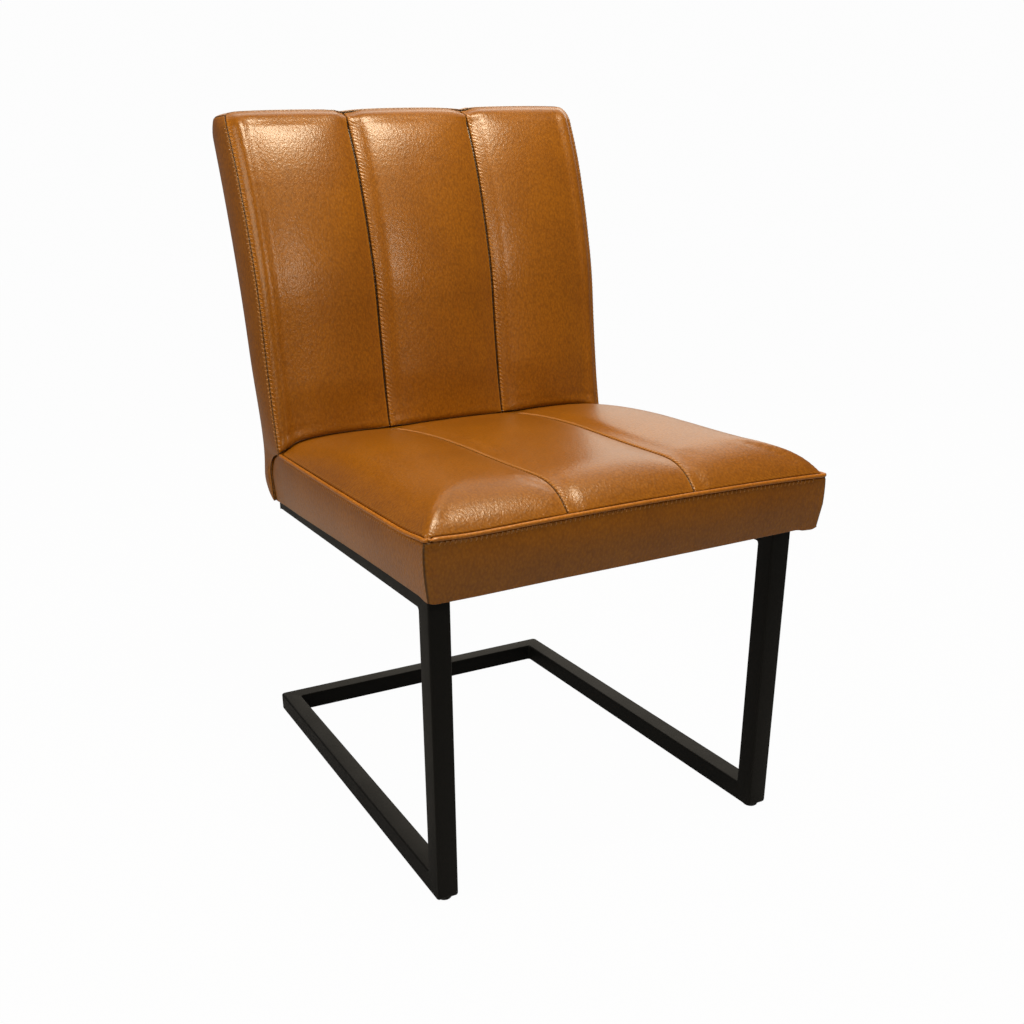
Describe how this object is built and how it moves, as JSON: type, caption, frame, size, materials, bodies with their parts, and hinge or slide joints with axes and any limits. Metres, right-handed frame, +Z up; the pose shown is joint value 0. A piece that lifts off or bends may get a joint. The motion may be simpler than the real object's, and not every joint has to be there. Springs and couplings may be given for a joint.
{
  "type": "chair",
  "caption": "Cantilever dining chair with a channelled leather seat and back on a black square-tube steel frame.",
  "frame": {"origin": "on the floor under the middle of the chair's bounding box", "axes": "+Z up, -Y is the way the sitter faces, +X towards the sitter's left"},
  "size_m": [0.5122, 0.6186, 0.8605],
  "materials": {
    "leather": "semi-gloss, fine pebbled grain, mottled tan",
    "black_steel": "satin black powder coat",
    "black_plastic": "matte",
    "plated_steel": "zinc-plated",
    "plywood": "unfinished birch plywood",
    "foam": "matte open-cell foam",
    "dust_cloth": "matte black non-woven cloth"
  },
  "bodies": {
    "root": {"leg_tube_left": "black_steel", "leg_tube_right": "black_steel", "floor_runner_left": "black_steel", "floor_runner_right": "black_steel", "rear_floor_crossbar": "black_steel", "seat_rail_left": "black_steel", "seat_rail_right": "black_steel", "seat_crossrail_front": "black_steel", "seat_crossrail_rear": "black_steel", "rail_end_cap_left": "black_plastic", "rail_end_cap_right": "black_plastic", "glide_front_left": "black_plastic", "glide_front_right": "black_plastic", "glide_rear_left": "black_plastic", "glide_rear_right": "black_plastic", "rail_bolt_front_left": "plated_steel", "rail_bolt_front_right": "plated_steel", "rail_bolt_rear_left": "plated_steel", "rail_bolt_rear_right": "plated_steel", "seat_board_insert_front_left": "plated_steel", "seat_board_insert_front_right": "plated_steel", "seat_board_insert_rear_left": "plated_steel", "seat_board_insert_rear_right": "plated_steel", "seat_board": "plywood", "seat_foam": "foam", "dust_cover": "dust_cloth", "seat_panel_left": "leather", "seat_panel_centre": "leather", "seat_panel_right": "leather", "seat_band_front": "leather", "seat_band_left": "leather", "seat_band_right": "leather", "seat_welt": "leather", "back_board": "plywood", "back_foam": "foam", "back_panel_left": "leather", "back_panel_centre": "leather", "back_panel_right": "leather", "back_band_left": "leather", "back_band_right": "leather", "back_band_top": "leather", "back_rear_panel": "leather", "back_bracket_left": "plated_steel", "back_bracket_right": "plated_steel", "bracket_seat_screw_left_a": "plated_steel", "bracket_seat_screw_left_b": "plated_steel", "bracket_seat_screw_right_a": "plated_steel", "bracket_seat_screw_right_b": "plated_steel", "bracket_back_screw_left_a": "plated_steel", "bracket_back_screw_left_b": "plated_steel", "bracket_back_screw_right_a": "plated_steel", "bracket_back_screw_right_b": "plated_steel"}
  },
  "joints": []
}
